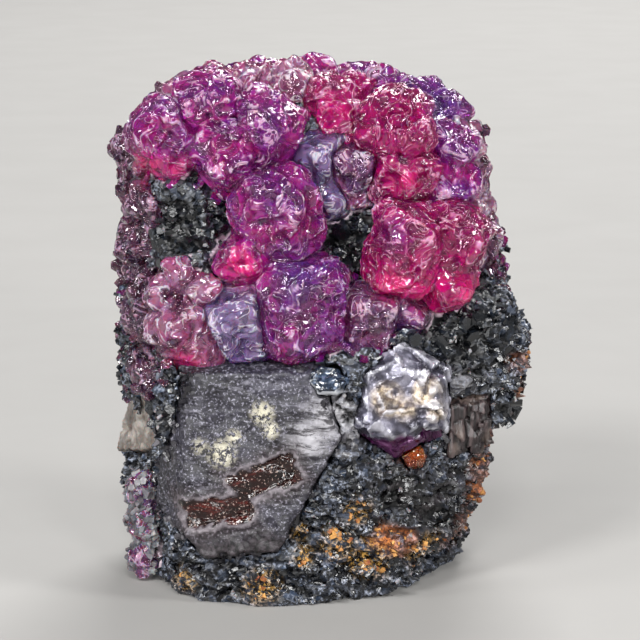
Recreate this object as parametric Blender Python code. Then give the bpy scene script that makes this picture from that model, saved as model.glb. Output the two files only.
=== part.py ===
"""Pink sapphire crystals on a block of dark amphibolite, a loose hand specimen that stands on its broken base.

The front of the specimen faces -Y and +Z is up. The origin is on the flat of the base. Sizes in the tables are
in millimetres. Every crystal is a convex body with flat faces. Crystals that grew through each other are joined
in one solid, and the rock and the later crystals have sockets that fit the earlier ones with a narrow gap.
"""

import math
import random
from collections import namedtuple

import bmesh
import bpy
from mathutils import Matrix, Vector, noise

MM = 0.001
GAP = 0.3
ROUGH_CUBE = 90.0

# Driving dimensions of the rock, in mm.
BLOCK_LEFT, BLOCK_RIGHT = -14.1, 14.7
BLOCK_FRONT, BLOCK_BACK = -10.7, 10.9
SHELF_HEIGHT = 17.3
CORE_HEIGHT = 34.6
ROCK_VOXEL = 0.75
ROCK_TRIANGLES = 1200

# Relief of the broken rock, in mm: broad lumps, small lumps, and ledges where the layers of the rock broke.
LUMP_SIZE, LUMP_RELIEF = 6.5, 1.1
KNOB_SIZE, KNOB_RELIEF = 2.4, 0.6
LAYER_THICKNESS, LAYER_RELIEF = 2.6, 0.55
LAYER_DIRECTION = Vector((0.28, -0.25, 1.0)).normalized()

# Below this width, in mm, only three steep faces show at each end of a crystal.
SMALL_CRYSTAL = 4.8

# A crystal's centre, its width across the prism, its length along the axis, how far the axis leans from upright,
# the compass direction it leans to (0 is +X, 90 is +Y) and its turn about the axis, in mm and degrees.
Crystal = namedtuple("Crystal", "x y z width length lean toward turn", defaults=(0.0, 0.0, 0.0))

# Earlier crystals come first: a later one stops where it meets them.
CLUSTERS = {
    "sapphire_centre": [
        Crystal(-3.0, -8.3, 28.2, 5.7, 6.2, 24, 250, 10),
        Crystal(-4.9, -8.0, 25.0, 4.3, 3.8, 50, 200, 40),
    ],
    "sapphire_right": [
        Crystal(6.2, -8.6, 25.8, 5.2, 6.0, 18, 300, 25),
        Crystal(9.2, -7.6, 26.1, 4.9, 5.4, 35, 330, 5),
        Crystal(9.0, -7.4, 23.3, 3.9, 3.4, 60, 310, 50),
    ],
    "sapphire_lower_centre": [Crystal(-1.4, -8.9, 21.6, 6.3, 7.2, 12, 280, 15)],
    "sapphire_silvered": [Crystal(5.8, -9.1, 14.9, 7.2, 6.0, 80, 266, 28)],
    "hexagonal_plate": [Crystal(0.6, -11.1, 16.6, 2.1, 2.0, 66, 262, 0)],
    "sapphire_lavender": [Crystal(-5.5, -8.6, 20.4, 5.0, 5.5, 30, 225, 35)],
    "sapphire_lower_left": [
        Crystal(-9.3, -8.3, 19.5, 4.5, 5.0, 38, 215, 20),
        Crystal(-9.6, -8.5, 23.0, 1.7, 3.8, 22, 160, 0),
        Crystal(-10.9, -8.2, 21.9, 2.2, 2.6, 45, 190, 30),
        Crystal(-8.2, -8.6, 22.3, 2.2, 2.8, 40, 260, 10),
    ],
    "sapphire_plum": [
        Crystal(3.2, -8.1, 19.9, 4.3, 6.2, 16, 300, 40),
        Crystal(5.8, -7.2, 19.9, 3.2, 4.4, 30, 320, 15),
    ],
    "sapphire_top_left": [Crystal(-10.9, -6.3, 33.5, 4.8, 5.0, 40, 200, 12)],
    "sapphire_upper_left": [
        Crystal(-8.0, -5.3, 34.6, 5.2, 6.0, 28, 230, 50),
        Crystal(-6.7, -7.2, 32.2, 4.6, 4.4, 55, 260, 20),
        Crystal(-3.9, -6.9, 33.7, 4.7, 5.2, 35, 300, 5),
    ],
    "sapphire_upper_right": [
        Crystal(5.3, -5.9, 33.7, 5.6, 4.8, 48, 275, 33),
        Crystal(5.9, -6.9, 30.8, 4.3, 4.2, 40, 310, 0),
    ],
    "sapphire_mauve": [Crystal(2.7, -6.3, 30.7, 3.5, 4.4, 25, 250, 22)],
    "sapphire_smoky": [
        Crystal(-0.2, -5.5, 31.6, 3.9, 4.4, 30, 270, 48),
        Crystal(0.9, -5.9, 29.2, 2.9, 3.0, 55, 285, 8),
    ],
    "sapphire_right_brow": [
        Crystal(8.7, -4.4, 32.0, 3.9, 4.4, 42, 320, 17),
        Crystal(8.9, -5.3, 29.4, 3.7, 4.0, 58, 300, 41),
    ],
    "sapphire_pink_crown": [
        Crystal(0.6, -2.9, 35.5, 3.4, 3.4, 30, 280, 9),
        Crystal(2.5, -1.9, 35.9, 2.4, 3.0, 20, 30, 36),
        Crystal(1.6, -4.9, 33.9, 3.5, 3.2, 62, 270, 52),
    ],
    "sapphire_violet_crown": [
        Crystal(4.4, -0.2, 35.7, 3.0, 3.2, 25, 90, 14),
        Crystal(6.5, -1.3, 35.3, 2.8, 3.2, 35, 320, 44),
        Crystal(8.4, -0.4, 34.1, 3.9, 4.2, 38, 10, 28),
    ],
    "sapphire_pale_crown": [
        Crystal(-9.8, -1.2, 35.0, 3.4, 3.8, 35, 170, 11),
        Crystal(-7.4, -0.9, 36.0, 3.2, 3.0, 30, 250, 37),
        Crystal(-4.9, -0.6, 36.3, 3.0, 3.2, 15, 120, 49),
        Crystal(-2.4, -0.2, 36.2, 3.0, 3.2, 30, 80, 19),
        Crystal(-1.2, -2.2, 35.6, 2.9, 3.0, 45, 270, 31),
    ],
    "sapphire_back_crown": [
        Crystal(-8.9, 3.9, 33.6, 4.6, 4.4, 40, 140, 8),
        Crystal(-5.0, 4.4, 34.9, 5.0, 4.6, 25, 100, 42),
        Crystal(-0.8, 3.9, 35.1, 4.6, 4.4, 35, 70, 26),
        Crystal(3.2, 4.4, 34.6, 4.9, 4.6, 30, 95, 13),
        Crystal(6.9, 3.9, 33.4, 4.4, 4.2, 45, 50, 55),
    ],
    "sapphire_back_left": [
        Crystal(-7.6, 8.0, 30.2, 5.8, 6.0, 50, 115, 16),
        Crystal(-5.6, 8.6, 26.4, 4.6, 4.8, 65, 80, 34),
    ],
    "sapphire_back_middle": [Crystal(0.0, 8.4, 30.6, 5.2, 5.4, 55, 90, 21)],
    "sapphire_back_right": [
        Crystal(6.1, 7.9, 29.6, 5.8, 6.0, 52, 65, 39),
        Crystal(8.0, 7.6, 25.8, 4.6, 4.8, 62, 40, 7),
    ],
    "garnet_orange": [Crystal(6.8, -10.0, 10.8, 1.5, 2.0, 70, 265, 5)],
    "sapphire_chip_upper": [Crystal(-12.8, -4.3, 6.6, 2.0, 2.6, 60, 200, 12)],
    "sapphire_chip_middle": [Crystal(-13.0, -4.2, 4.0, 1.7, 2.6, 20, 200, 30)],
    "sapphire_chip_lower": [Crystal(-13.2, -5.0, 1.6, 1.6, 2.0, 40, 210, 45)],
}

# Colours of the solids: linear RGB, roughness.
FINISHES = {
    "rock": ((0.035, 0.037, 0.045), 0.7),
    "garnet": ((0.085, 0.045, 0.05), 0.4),
    "feldspar": ((0.45, 0.41, 0.36), 0.6),
    "mica": ((0.13, 0.085, 0.07), 0.35),
    "orange": ((0.45, 0.10, 0.02), 0.2),
    "magenta": ((0.42, 0.01, 0.16), 0.12),
    "hot_pink": ((0.62, 0.01, 0.17), 0.12),
    "lavender": ((0.30, 0.20, 0.36), 0.18),
    "pale_pink": ((0.50, 0.22, 0.32), 0.25),
    "silvered": ((0.45, 0.44, 0.50), 0.3),
}
FINISH_OF = {
    "sapphire_right": "hot_pink",
    "sapphire_upper_right": "hot_pink",
    "sapphire_pink_crown": "hot_pink",
    "sapphire_lavender": "lavender",
    "sapphire_smoky": "lavender",
    "sapphire_violet_crown": "lavender",
    "sapphire_lower_left": "pale_pink",
    "sapphire_pale_crown": "pale_pink",
    "sapphire_silvered": "silvered",
    "hexagonal_plate": "silvered",
    "garnet_orange": "orange",
}


def clear_scene():
    for thing in list(bpy.data.objects):
        bpy.data.objects.remove(thing)


def finish(name):
    """The material of a piece, made once and shared."""
    material = bpy.data.materials.get(name)
    if material is None:
        colour, roughness = FINISHES[name]
        material = bpy.data.materials.new(name)
        material.use_nodes = True
        shader = material.node_tree.nodes["Principled BSDF"]
        shader.inputs["Base Color"].default_value = (*colour, 1.0)
        shader.inputs["Roughness"].default_value = roughness
        shader.inputs["Metallic"].default_value = 0.0
    return material


def object_from(name, bm):
    """Links a new object that holds the bmesh, which is in mm, as a mesh in metres."""
    bmesh.ops.scale(bm, vec=Vector((MM, MM, MM)), verts=bm.verts)
    mesh = bpy.data.meshes.new(name)
    bm.to_mesh(mesh)
    bm.free()
    body = bpy.data.objects.new(name, mesh)
    bpy.context.scene.collection.objects.link(body)
    return body


def cleave(bm, point, normal):
    """Splits off what lies past a plane, and closes the body with one flat face there."""
    cut = bmesh.ops.bisect_plane(
        bm,
        geom=bm.verts[:] + bm.edges[:] + bm.faces[:],
        plane_co=point,
        plane_no=normal,
        clear_outer=True,
        dist=1e-5,
    )
    rim = [piece for piece in cut["geom_cut"] if isinstance(piece, bmesh.types.BMEdge)]
    if rim:
        bmesh.ops.edgeloop_fill(bm, edges=rim)


def convex(planes, grow=0.0):
    """The convex body in mm inside some planes, each a point and an outward normal.

    With grow, every face stands that much further out, for cutting the socket that the body sits in.
    """
    bm = bmesh.new()
    bmesh.ops.create_cube(bm, size=ROUGH_CUBE)
    middle = sum((Vector(point) for point, _ in planes), Vector()) / len(planes)
    bmesh.ops.translate(bm, vec=middle, verts=bm.verts)
    for point, normal in planes:
        outward = Vector(normal).normalized()
        cleave(bm, Vector(point) + outward * grow, outward)
    bmesh.ops.recalc_face_normals(bm, faces=bm.faces)
    return bm


def corundum(crystal, seed):
    """The faces of a barrel of corundum: six prism faces, two flat ends and the steep faces round each end.

    Each face stands a little nearer or further than the ideal one, because no crystal grows evenly. A large
    crystal has six steep faces at each end and a small one has three.
    """
    chance = random.Random(seed)
    half_width, half_length = crystal.width / 2, crystal.length / 2
    steep = math.radians(chance.uniform(36, 46))
    corner = half_width * math.cos(steep) + half_length * math.sin(steep)
    faces = [(Vector((0, 0, end)), half_length * chance.uniform(0.88, 1.0)) for end in (-1, 1)]
    for side in range(6):
        turn = math.radians(60 * side)
        outward = Vector((math.cos(turn), math.sin(turn), 0))
        faces.append((outward, half_width * chance.uniform(0.86, 1.0)))
        for end in (-1, 1):
            if crystal.width < SMALL_CRYSTAL and side % 2:
                continue
            normal = outward * math.cos(steep) + Vector((0, 0, end * math.sin(steep)))
            faces.append((normal, corner * chance.uniform(0.74, 0.88)))
    middle = Vector((crystal.x, crystal.y, crystal.z))
    turned = (
        Matrix.Rotation(math.radians(crystal.toward), 3, "Z")
        @ Matrix.Rotation(math.radians(crystal.lean), 3, "Y")
        @ Matrix.Rotation(math.radians(crystal.turn), 3, "Z")
    )
    return [(middle + turned @ normal * distance, turned @ normal) for normal, distance in faces]


def apply_step(body, kind, **settings):
    """Runs one modifier on a body and keeps the result as its mesh."""
    step = body.modifiers.new(kind.lower(), kind)
    for key, value in settings.items():
        setattr(step, key, value)
    bpy.context.view_layer.update()
    graph = bpy.context.evaluated_depsgraph_get()
    made = bpy.data.meshes.new_from_object(body.evaluated_get(graph))
    body.modifiers.remove(step)
    body.data = made


def volume(body):
    bm = bmesh.new()
    bm.from_mesh(body.data)
    amount = bm.calc_volume()
    bm.free()
    return amount


def carve(body, tool, operation):
    """Joins a tool to a body, or cuts it away, and removes the tool.

    A cut that grazes an edge of the rough rock can lose the whole body in the exact solver. The volume shows
    it, and the manifold solver then makes that cut.
    """
    before = body.data
    least = volume(body) - (volume(tool) if operation == "DIFFERENCE" else 0)
    apply_step(body, "BOOLEAN", operation=operation, solver="EXACT", object=tool)
    if volume(body) < 0.99 * least:
        body.data = before
        apply_step(body, "BOOLEAN", operation=operation, solver="MANIFOLD", object=tool)
    bpy.data.objects.remove(tool)


def fused(name, bodies):
    """One solid of several convex bodies that run into each other."""
    solid = object_from(name, convex(bodies[0]))
    for planes in bodies[1:]:
        carve(solid, object_from("tool", convex(planes)), "UNION")
    return solid


def extent(body):
    """Lowest and highest corner of a body's mesh, in metres."""
    points = [vertex.co for vertex in body.data.vertices]
    return [tuple(pick(p[axis] for p in points) for axis in range(3)) for pick in (min, max)]


def meet(first, second):
    """Whether the boxes of two bodies overlap."""
    (low_a, high_a), (low_b, high_b) = extent(first), extent(second)
    return all(low_a[i] < high_b[i] and low_b[i] < high_a[i] for i in range(3))


def cut_clear_of(solid, neighbours):
    """Cuts the sockets of the neighbouring convex bodies into a solid, a narrow gap wider than they are."""
    for planes in neighbours:
        tool = object_from("tool", convex(planes, grow=GAP))
        if meet(solid, tool):
            carve(solid, tool, "DIFFERENCE")
        else:
            bpy.data.objects.remove(tool)


def keep_largest_piece(body):
    """Drops the loose splinters that a cut can leave beside the main piece."""
    bm = bmesh.new()
    bm.from_mesh(body.data)
    left, pieces = set(bm.verts), []
    while left:
        front = [left.pop()]
        piece = set(front)
        while front:
            vertex = front.pop()
            for edge in vertex.link_edges:
                other = edge.other_vert(vertex)
                if other in left:
                    left.remove(other)
                    piece.add(other)
                    front.append(other)
        pieces.append(piece)
    pieces.sort(key=len)
    loose = [vertex for piece in pieces[:-1] for vertex in piece]
    bmesh.ops.delete(bm, geom=loose, context="VERTS")
    bm.to_mesh(body.data)
    bm.free()


GARNET_FRONT = ((-4.5, -11.9, 9.0), (-0.10, -1.0, 0.06))
GARNET = [
    [
        GARNET_FRONT,
        ((-10.7, -9.0, 9.0), (-1.0, -0.42, 0.05)),
        ((-5.0, -11.0, SHELF_HEIGHT - 0.1), (-0.05, -0.30, 1.0)),
        ((0.6, -10.0, 11.0), (0.95, -0.1, -0.50)),
        ((0.4, -10.0, 15.5), (0.9, -0.1, 0.35)),
        ((-5.0, -10.0, 3.6), (0.10, -0.35, -1.0)),
        ((-8.8, -10.0, 4.0), (-0.8, -0.2, -0.75)),
        ((-5.0, -6.4, 9.0), (0.0, 1.0, 0.1)),
    ]
]

# Windows in the front of the garnet: centre x and z, width, height in mm, and how far they climb to the right.
GARNET_WINDOWS = ((-3.9, 9.7, 4.9, 2.1, 26), (-7.3, 7.2, 4.7, 1.9, 12))
WINDOW_DEPTH = 0.3

MICA_PLATES = 5
FELDSPAR = [
    [
        ((-13.9, -1.0, 10.0), (-1.0, -0.40, 0.06)),
        ((-13.8, 0.5, 13.0), (-1.0, 0.2, 0.5)),
        ((-12.2, 0, 10.0), (1.0, 0.2, 0)),
        ((-12.5, -5.2, 10.0), (-0.1, -1.0, 0.1)),
        ((-13.0, 2.4, 10.0), (0, 1.0, 0.2)),
        ((-13.0, 0, 13.8), (0.1, -0.2, 1.0)),
        ((-13.0, 0, 8.6), (-0.1, -0.3, -1.0)),
    ]
]


def open_windows(garnet):
    """Cuts the shallow windows where the dusty skin of the garnet has chipped off."""
    point, normal = (Vector(part) for part in GARNET_FRONT)
    for x, z, width, height, climb in GARNET_WINDOWS:
        window = convex(
            [
                ((width / 2, 0, 0), (1.0, 0, -0.35)),
                ((-width / 2, 0, 0), (-1.0, 0, 0.45)),
                ((0, 0, height / 2), (0, 0, 1.0)),
                ((0, 0, -height / 2), (0.1, 0, -1.0)),
                ((0, WINDOW_DEPTH, 0), (0.02, 1.0, 0.03)),
                ((0, -2.0, 0), (0, -1.0, 0)),
            ]
        )
        surface = point.y - (normal.x * (x - point.x) + normal.z * (z - point.z)) / normal.y
        bmesh.ops.rotate(window, matrix=Matrix.Rotation(-math.radians(climb), 3, "Y"), verts=window.verts)
        bmesh.ops.translate(window, vec=Vector((x, surface, z)), verts=window.verts)
        carve(garnet, object_from("tool", window), "DIFFERENCE")


def mica_plates():
    """The upright plates of the striated brown prism in the right of the front."""
    plates = []
    for layer in range(MICA_PLATES):
        middle = 9.7 + 0.55 * layer
        front = -8.3 + 0.42 * layer - 0.25 * (layer % 2)
        plates.append(
            [
                ((middle - 0.36, front, 12.0), (-1.0, 0.05, 0)),
                ((middle + 0.36, front, 12.0), (1.0, 0.02, 0)),
                ((middle, front, 12.0), (0.2, -1.0, 0)),
                ((middle, -3.8, 12.0), (0, 1.0, 0)),
                ((middle, front, 10.4 + 0.2 * (layer % 3)), (0.1, 0, -1.0)),
                ((middle, front, 14.2 - 0.25 * (layer % 2)), (0, -0.2, 1.0)),
            ]
        )
    return plates


# A crust of small crystals on a thin bed: they stand in jittered rows between three corners of the bed's face.
Druse = namedtuple("Druse", "bed corners rows columns widths seed")
DRUSES = {
    "druse_left": Druse(
        bed=[
            ((-13.0, 0.0, 24.0), (-1.0, -0.25, 0.04)),
            ((-11.3, 0.0, 24.0), (1.0, 0.25, 0)),
            ((-12.0, -5.8, 24.0), (0.3, -1.0, 0)),
            ((-13.4, 4.2, 24.0), (-0.2, 1.0, 0)),
            ((-13.0, 0, 31.6), (-0.9, 0, 1.0)),
            ((-13.0, 0, 15.0), (-0.3, -0.2, -1.0)),
        ],
        corners=[(-11.7, -6.3, 15.2), (-13.9, 4.6, 15.2), (-11.3, -6.3, 32.4)],
        rows=6,
        columns=3,
        widths=(2.4, 3.3),
        seed=700,
    ),
    "druse_right": Druse(
        bed=[
            ((10.2, 0.0, 29.0), (1.0, -0.22, 0.12)),
            ((8.5, 0.0, 29.0), (-1.0, 0.22, -0.12)),
            ((10.2, -4.6, 29.0), (0.2, -1.0, 0)),
            ((10.8, 4.4, 29.0), (-0.1, 1.0, 0)),
            ((10.2, 0, 33.2), (0.6, 0, 1.0)),
            ((10.2, 0, 22.8), (0.3, 0, -1.0)),
        ],
        corners=[(9.9, -4.4, 23.4), (11.5, 5.0, 23.4), (8.8, -4.4, 33.4)],
        rows=4,
        columns=2,
        widths=(3.0, 4.0),
        seed=900,
    ),
}


def druse_bodies(druse):
    """The bed of a crust and all its small crystals."""
    chance = random.Random(druse.seed)
    start, across, up = (Vector(corner) for corner in druse.corners)
    bodies = [druse.bed]
    for row in range(druse.rows):
        for column in range(druse.columns):
            u = (column + chance.uniform(0.15, 0.85)) / druse.columns
            v = (row + chance.uniform(0.15, 0.85)) / druse.rows
            spot = start + (across - start) * u + (up - start) * v
            width = chance.uniform(*druse.widths)
            length = width * chance.uniform(0.9, 1.3)
            lean, toward, turn = chance.uniform(20, 90), chance.uniform(0, 360), chance.uniform(0, 60)
            grain = Crystal(*spot, width, length, lean, toward, turn)
            bodies.append(corundum(grain, druse.seed + len(bodies)))
    return bodies


# The blocks that the rock broke into, as planes.
ROCK_FOOT = [
    ((0, 0, -1.5), (0, 0, -1.0)),
    ((-3.0, BLOCK_FRONT, 8.0), (-0.12, -1.0, 0.04)),
    ((5.5, -9.4, 8.0), (0.50, -1.0, -0.05)),
    ((-11.0, -8.0, 8.0), (-1.0, -0.42, -0.04)),
    ((BLOCK_LEFT, 1.0, 8.0), (-1.0, 0.20, -0.05)),
    ((0, BLOCK_BACK, 8.0), (0.08, 1.0, 0.10)),
    ((-10.6, 8.5, 8.0), (-0.7, 1.0, 0.0)),
    ((10.0, 6.5, 9.0), (0.8, 0.8, -0.1)),
    ((10.3, 0.0, 2.0), (1.0, 0.0, -0.28)),
    ((BLOCK_RIGHT - 0.7, 0.0, 13.0), (1.0, 0.0, 0.05)),
    ((9.6, -3.5, 1.8), (0.55, -0.45, -0.9)),
    ((-14.0, -2.5, 0.8), (-0.6, -0.3, -0.9)),
    ((-5.0, -11.0, SHELF_HEIGHT), (-0.05, -0.45, 1.0)),
]
ROCK_CORE = [
    ((0, 0, 7.0), (0, 0, -1.0)),
    ((-12.1, 0.0, 24.0), (-1.0, -0.22, 0.03)),
    ((-2.0, -6.9, 24.0), (-0.06, -1.0, 0.03)),
    ((8.0, -5.2, 26.0), (0.55, -1.0, 0.12)),
    ((9.8, 0.0, 27.0), (1.0, -0.05, 0.14)),
    ((8.5, 7.0, 27.0), (0.7, 0.9, 0.1)),
    ((0, 8.1, 26.0), (0.04, 1.0, 0.12)),
    ((-10.5, 6.8, 26.0), (-0.8, 0.8, 0.1)),
    ((0, 0, CORE_HEIGHT), (0.03, 0.0, 1.0)),
    ((8.4, 0, 32.8), (0.75, 0.0, 1.0)),
    ((-10.6, 0, 32.8), (-0.9, -0.1, 1.0)),
    ((0, 6.2, 33.2), (0, 0.8, 1.0)),
]
ROCK_SHOULDER = [
    ((10.0, 0, 11.5), (0.1, 0, -1.0)),
    ((6.0, -3.0, 18.0), (-1.0, -0.1, 0)),
    ((10.5, -7.4, 17.0), (0.18, -1.0, 0.10)),
    ((13.2, -5.4, 16.0), (0.8, -0.8, 0.0)),
    ((BLOCK_RIGHT, 0.0, 16.0), (1.0, 0.0, -0.02)),
    ((13.9, 0.0, 18.9), (0.75, 0.0, 0.80)),
    ((10.0, 0.0, 21.3), (0.2, 0.05, 1.0)),
    ((12.0, 7.6, 16.0), (0.3, 1.0, 0.1)),
]
ROCK_KNOB = [
    ((-9.4, -8.2, 27.0), (-0.25, -1.0, 0.0)),
    ((-11.7, -6.5, 27.0), (-1.0, -0.5, 0.0)),
    ((-7.4, -7.0, 27.0), (1.0, -0.4, 0.0)),
    ((-9.5, -7.0, 30.6), (0.0, -0.4, 1.0)),
    ((-9.5, -7.0, 23.6), (0.0, -0.6, -1.0)),
    ((-9.5, -4.0, 27.0), (0.0, 1.0, 0.0)),
]
ROCK_HEEL = [
    ((0, 0, -1.5), (0, 0, -1.0)),
    ((4.0, -10.0, 4.0), (0.10, -1.0, 0.14)),
    ((-2.5, -9.5, 4.0), (-1.0, -0.6, 0.0)),
    ((6.4, -8.0, 4.0), (1.0, -0.7, -0.2)),
    ((3.4, -9.8, 0.4), (0.40, -0.45, -0.9)),
    ((3.0, -8.8, 8.3), (-0.15, -0.5, 1.0)),
    ((3.0, 0.0, 4.0), (0.0, 1.0, 0.0)),
]


def rough_out(point):
    """How far the broken rock stands out at a point, in mm: lumps, knobs and the ledges of its layers."""
    lumps = noise.noise(point / LUMP_SIZE) * LUMP_RELIEF
    knobs = noise.noise(point / KNOB_SIZE + Vector((5, 3, 8))) * KNOB_RELIEF
    level = point.dot(LAYER_DIRECTION) / LAYER_THICKNESS + noise.noise(point / LUMP_SIZE + Vector((9, 1, 4)))
    return lumps + knobs + (level % 1.0 - 0.5) * LAYER_RELIEF


def rock():
    """The amphibolite: its blocks fused, roughened, and cut flat at the base that it stands on."""
    body = fused("rock_matrix", [ROCK_FOOT, ROCK_CORE, ROCK_SHOULDER, ROCK_KNOB, ROCK_HEEL])
    apply_step(body, "REMESH", mode="VOXEL", voxel_size=ROCK_VOXEL * MM)
    bm = bmesh.new()
    bm.from_mesh(body.data)
    bm.normal_update()
    moves = [(vertex, vertex.normal * rough_out(vertex.co / MM) * MM) for vertex in bm.verts]
    for vertex, move in moves:
        vertex.co += move
    bmesh.ops.triangulate(bm, faces=bm.faces)
    ratio = ROCK_TRIANGLES / len(bm.faces)
    bm.to_mesh(body.data)
    bm.free()
    apply_step(body, "DECIMATE", ratio=ratio)
    bm = bmesh.new()
    bm.from_mesh(body.data)
    cleave(bm, Vector((0, 0, 0)), Vector((0, 0, -1)))
    bmesh.ops.triangulate(bm, faces=bm.faces)
    bm.to_mesh(body.data)
    bm.free()
    return body


def settle(solid, neighbours, coat):
    """Cuts a solid clear of its neighbours and gives it its material."""
    cut_clear_of(solid, neighbours)
    keep_largest_piece(solid)
    solid.data.materials.clear()
    solid.data.materials.append(finish(coat))
    for face in solid.data.polygons:
        face.material_index = 0


def main():
    clear_scene()
    earlier = []
    for number, (name, crystals) in enumerate(CLUSTERS.items()):
        bodies = [corundum(crystal, 10 * number + count) for count, crystal in enumerate(crystals, start=1)]
        settle(fused(name, bodies), earlier, FINISH_OF.get(name, "magenta"))
        earlier += bodies

    garnet = fused("garnet_block", GARNET)
    open_windows(garnet)
    settle(garnet, earlier, "garnet")
    plates = mica_plates()
    settle(fused("mica_book", plates), earlier, "mica")
    settle(fused("feldspar_slab", FELDSPAR), earlier, "feldspar")
    earlier += GARNET + plates + FELDSPAR

    for name, druse in DRUSES.items():
        bodies = druse_bodies(druse)
        settle(fused(name, bodies), earlier, "pale_pink")
        earlier += bodies

    settle(rock(), earlier, "rock")


main()
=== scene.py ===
"""Pink sapphire crystals on dark amphibolite: the fine surfaces, the grains and the finishes of one hand specimen.

The solids of the specimen are the frame. Each one gets a finely broken or etched copy that stands in its place,
and small grains of the same minerals sit in the surface of the rock. Lengths in the tables are in millimetres,
with +Z up and the crystals' best side facing -Y.
"""

import math
import random
from collections import namedtuple
from itertools import product

import bmesh
import bpy
import numpy as np
from bpy.props import FloatProperty, FloatVectorProperty, IntProperty, PointerProperty
from mathutils import Matrix, Vector
from mathutils.bvhtree import BVHTree


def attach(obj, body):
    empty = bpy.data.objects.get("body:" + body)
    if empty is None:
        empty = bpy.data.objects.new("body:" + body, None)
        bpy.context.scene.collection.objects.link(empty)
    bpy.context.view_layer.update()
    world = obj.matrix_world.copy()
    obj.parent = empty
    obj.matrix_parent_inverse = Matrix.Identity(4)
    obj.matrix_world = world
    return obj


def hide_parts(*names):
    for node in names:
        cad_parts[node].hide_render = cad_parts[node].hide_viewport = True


bl_info = {
    "name": "Sapphire crystals on rock",
    "version": (1, 0, 0),
    "blender": (4, 5, 0),
    "location": "View3D > Sidebar > Specimen",
    "description": "Etches the crystals, breaks the rock and sets the stage of a mineral specimen",
    "category": "Object",
}

MM = 0.001
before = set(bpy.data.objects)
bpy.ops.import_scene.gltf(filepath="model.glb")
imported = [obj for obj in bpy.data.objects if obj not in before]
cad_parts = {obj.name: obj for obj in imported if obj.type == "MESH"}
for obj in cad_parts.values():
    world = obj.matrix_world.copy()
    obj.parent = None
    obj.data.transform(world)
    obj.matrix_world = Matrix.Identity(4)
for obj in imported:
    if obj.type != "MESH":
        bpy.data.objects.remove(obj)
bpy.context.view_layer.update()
ON_ROCK = [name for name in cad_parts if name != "rock_matrix"]


def linear(code):
    """Linear RGB of an sRGB hex colour."""
    values = [int(code[i : i + 2], 16) / 255 for i in (0, 2, 4)]
    return tuple(v / 12.92 if v <= 0.04045 else ((v + 0.055) / 1.055) ** 2.4 for v in values)


# The kinds of crystal: name, slot in the record, two colours of the body, the colour of the painted shade in its
# hollows and dark facets, the colour of its pale threads and crests, painted as highlights, what it lets through,
# how strongly it takes the rest, per metre, and how far small crystals stand out of it, in mm.
Gem = namedtuple("Gem", "kind slot face deep seam flash through density knobs")
HOT_PINK = Gem("hot_pink", "hot_pink", "FF14A4", "D00888", "700450", "FFC0E4", "FF44B0", 60, 0.04)
MAGENTA = Gem("magenta", "magenta", "F438BC", "B030C4", "4C0C50", "FFD8F4", "F860CC", 50, 0.18)
PURPLE = Gem("purple", "magenta", "BC40C4", "E024AC", "380C44", "F8D8F8", "D468D4", 50, 0.20)
PLUM = Gem("plum", "magenta", "E07CBC", "A064AC", "401838", "FCE0F4", "D890C0", 50, 0.30)
LAVENDER = Gem("lavender", "lavender", "DCBCF4", "B488DC", "403064", "F8F4FF", "D8C0E8", 50, 0.24)
PALE_PINK = Gem("pale_pink", "pale_pink", "FFB8E4", "F878C0", "702458", "FFF4FC", "F8C0E0", 50, 0.70)
DUSKY_PINK = Gem("dusky_pink", "pale_pink", "A86890", "744870", "241024", "DCB4D0", "D8A0C4", 60, 0.80)
AMBER = Gem("orange", "orange", "E8843A", "C8541C", "702808", "FFD8A8", "F0A060", 80, 0.0)
GEMS = {
    "sapphire_centre": MAGENTA,
    "sapphire_right": HOT_PINK,
    "sapphire_lower_centre": PURPLE,
    "sapphire_lavender": LAVENDER,
    "sapphire_lower_left": PALE_PINK,
    "sapphire_plum": PLUM,
    "sapphire_top_left": PURPLE,
    "sapphire_upper_left": MAGENTA,
    "sapphire_upper_right": HOT_PINK,
    "sapphire_mauve": PLUM,
    "sapphire_smoky": LAVENDER,
    "sapphire_right_brow": MAGENTA,
    "sapphire_pink_crown": HOT_PINK,
    "sapphire_violet_crown": PURPLE,
    "sapphire_pale_crown": PALE_PINK,
    "sapphire_back_crown": MAGENTA,
    "sapphire_back_left": PURPLE,
    "sapphire_back_middle": MAGENTA,
    "sapphire_back_right": HOT_PINK,
    "sapphire_chip_upper": PLUM,
    "sapphire_chip_middle": PALE_PINK,
    "sapphire_chip_lower": PLUM,
    "druse_left": DUSKY_PINK,
    "druse_right": PALE_PINK,
}

# Patches of a finish: centre x, y, z, radius in mm and strength.
# Painted light: where light leaves the crystals, their lower rims are painted glowing red-pink,
# and some of their upper parts are violet.
PAINTED_GLOW = [
    (-5.6, -9.0, 24.8, 2.6, 1.0),
    (-12.2, -7.0, 31.6, 2.4, 1.0),
    (-10.2, -7.6, 31.2, 1.6, 0.8),
    (5.2, -10.0, 23.6, 2.3, 1.0),
    (7.6, -9.5, 22.8, 2.4, 1.0),
    (10.4, -9.0, 22.4, 2.0, 0.9),
    (-9.6, -10.0, 17.6, 2.0, 0.9),
    (6.0, -8.5, 31.0, 2.0, 0.8),
    (1.0, -4.5, 34.8, 2.0, 0.7),
    (-7.5, -8.0, 30.4, 1.6, 0.4),
]
VIOLET = [
    (-1.6, -11.0, 24.4, 2.8, 0.9),
    (-3.2, -10.0, 30.2, 2.4, 0.6),
    (5.2, -10.5, 27.2, 1.9, 0.6),
    (8.6, -1.0, 35.2, 3.0, 1.0),
    (5.8, -8.0, 20.6, 2.4, 0.6),
    (-3.8, -8.0, 35.0, 2.2, 0.5),
    (-5.0, 7.0, 32.0, 4.0, 0.7),
]
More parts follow.
